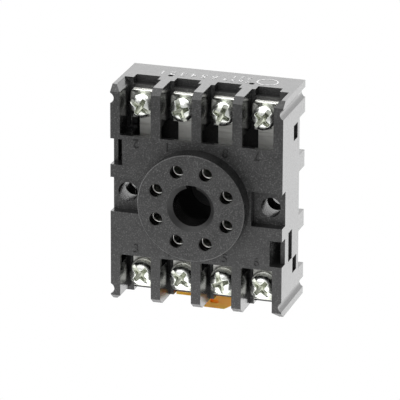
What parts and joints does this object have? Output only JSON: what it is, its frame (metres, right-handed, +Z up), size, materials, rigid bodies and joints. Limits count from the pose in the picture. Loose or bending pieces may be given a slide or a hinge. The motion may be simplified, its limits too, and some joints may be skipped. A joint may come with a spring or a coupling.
{
  "type": "relay socket",
  "caption": "Front-wired octal relay socket with screw terminals in open bays, for a panel or a 35 mm rail, with an orange rail lever.",
  "frame": {"origin": "on the axis of the pin circle, in the plane of the back that lies on the panel", "axes": "+X to the right and +Z up as the user sees the front, +Y away from the user, into the panel"},
  "size_m": [0.0396, 0.0213, 0.0551],
  "materials": {
    "black_plastic": "moulded, slightly rough, charcoal black",
    "orange_plastic": "moulded, smooth",
    "plated_steel": "zinc plated, stamped",
    "plated_screw": "bright nickel plate",
    "contact_plate": "tinned, rolled sheet"
  },
  "bodies": {
    "socket": {"housing": "black_plastic", "base": "black_plastic", "terminal_1": "plated_steel", "terminal_2": "plated_steel", "terminal_3": "plated_steel", "terminal_4": "plated_steel", "terminal_5": "plated_steel", "terminal_6": "plated_steel", "terminal_7": "plated_steel", "terminal_8": "plated_steel", "contact_1": "contact_plate", "contact_2": "contact_plate", "contact_3": "contact_plate", "contact_4": "contact_plate", "contact_5": "contact_plate", "contact_6": "contact_plate", "contact_7": "contact_plate", "contact_8": "contact_plate"},
    "lever": {"rail_lever": "orange_plastic"},
    "washer_1": {"washer_1": "plated_steel"},
    "screw_1": {"screw_1": "plated_screw"},
    "washer_2": {"washer_2": "plated_steel"},
    "screw_2": {"screw_2": "plated_screw"},
    "washer_3": {"washer_3": "plated_steel"},
    "screw_3": {"screw_3": "plated_screw"},
    "washer_4": {"washer_4": "plated_steel"},
    "screw_4": {"screw_4": "plated_screw"},
    "washer_5": {"washer_5": "plated_steel"},
    "screw_5": {"screw_5": "plated_screw"},
    "washer_6": {"washer_6": "plated_steel"},
    "screw_6": {"screw_6": "plated_screw"},
    "washer_7": {"washer_7": "plated_steel"},
    "screw_7": {"screw_7": "plated_screw"},
    "washer_8": {"washer_8": "plated_steel"},
    "screw_8": {"screw_8": "plated_screw"}
  },
  "joints": [
    {"name": "rail_lever_pull", "type": "slide", "parent": "socket", "child": "lever", "axis": [0, 0, -1], "range_m": [0, 0.003], "stiffness_N_per_m": 150},
    {"name": "washer_1_lift", "type": "slide", "parent": "socket", "child": "washer_1", "axis": [0, -1, 0], "range_m": [0, 0.0024]},
    {"name": "screw_1_turn", "type": "hinge", "parent": "washer_1", "child": "screw_1", "pos_m": [-0.00468, -0.0115, 0.0197], "axis": [0, -1, 0], "range_deg": [0, 1440]},
    {"name": "washer_2_lift", "type": "slide", "parent": "socket", "child": "washer_2", "axis": [0, -1, 0], "range_m": [0, 0.0024]},
    {"name": "screw_2_turn", "type": "hinge", "parent": "washer_2", "child": "screw_2", "pos_m": [-0.01402, -0.0115, 0.0197], "axis": [0, -1, 0], "range_deg": [0, 1440]},
    {"name": "washer_3_lift", "type": "slide", "parent": "socket", "child": "washer_3", "axis": [0, -1, 0], "range_m": [0, 0.0024]},
    {"name": "screw_3_turn", "type": "hinge", "parent": "washer_3", "child": "screw_3", "pos_m": [-0.01402, -0.0115, -0.0197], "axis": [0, -1, 0], "range_deg": [0, 1440]},
    {"name": "washer_4_lift", "type": "slide", "parent": "socket", "child": "washer_4", "axis": [0, -1, 0], "range_m": [0, 0.0024]},
    {"name": "screw_4_turn", "type": "hinge", "parent": "washer_4", "child": "screw_4", "pos_m": [-0.00468, -0.0115, -0.0197], "axis": [0, -1, 0], "range_deg": [0, 1440]},
    {"name": "washer_5_lift", "type": "slide", "parent": "socket", "child": "washer_5", "axis": [0, -1, 0], "range_m": [0, 0.0024]},
    {"name": "screw_5_turn", "type": "hinge", "parent": "washer_5", "child": "screw_5", "pos_m": [0.00468, -0.0115, -0.0197], "axis": [0, -1, 0], "range_deg": [0, 1440]},
    {"name": "washer_6_lift", "type": "slide", "parent": "socket", "child": "washer_6", "axis": [0, -1, 0], "range_m": [0, 0.0024]},
    {"name": "screw_6_turn", "type": "hinge", "parent": "washer_6", "child": "screw_6", "pos_m": [0.01402, -0.0115, -0.0197], "axis": [0, -1, 0], "range_deg": [0, 1440]},
    {"name": "washer_7_lift", "type": "slide", "parent": "socket", "child": "washer_7", "axis": [0, -1, 0], "range_m": [0, 0.0024]},
    {"name": "screw_7_turn", "type": "hinge", "parent": "washer_7", "child": "screw_7", "pos_m": [0.01402, -0.0115, 0.0197], "axis": [0, -1, 0], "range_deg": [0, 1440]},
    {"name": "washer_8_lift", "type": "slide", "parent": "socket", "child": "washer_8", "axis": [0, -1, 0], "range_m": [0, 0.0024]},
    {"name": "screw_8_turn", "type": "hinge", "parent": "washer_8", "child": "screw_8", "pos_m": [0.00468, -0.0115, 0.0197], "axis": [0, -1, 0], "range_deg": [0, 1440]}
  ],
  "couplings": [
    {"joint": "screw_1_turn", "follows": "washer_1_lift", "rad_per_m": 10472},
    {"joint": "screw_2_turn", "follows": "washer_2_lift", "rad_per_m": 10472},
    {"joint": "screw_3_turn", "follows": "washer_3_lift", "rad_per_m": 10472},
    {"joint": "screw_4_turn", "follows": "washer_4_lift", "rad_per_m": 10472},
    {"joint": "screw_5_turn", "follows": "washer_5_lift", "rad_per_m": 10472},
    {"joint": "screw_6_turn", "follows": "washer_6_lift", "rad_per_m": 10472},
    {"joint": "screw_7_turn", "follows": "washer_7_lift", "rad_per_m": 10472},
    {"joint": "screw_8_turn", "follows": "washer_8_lift", "rad_per_m": 10472}
  ]
}
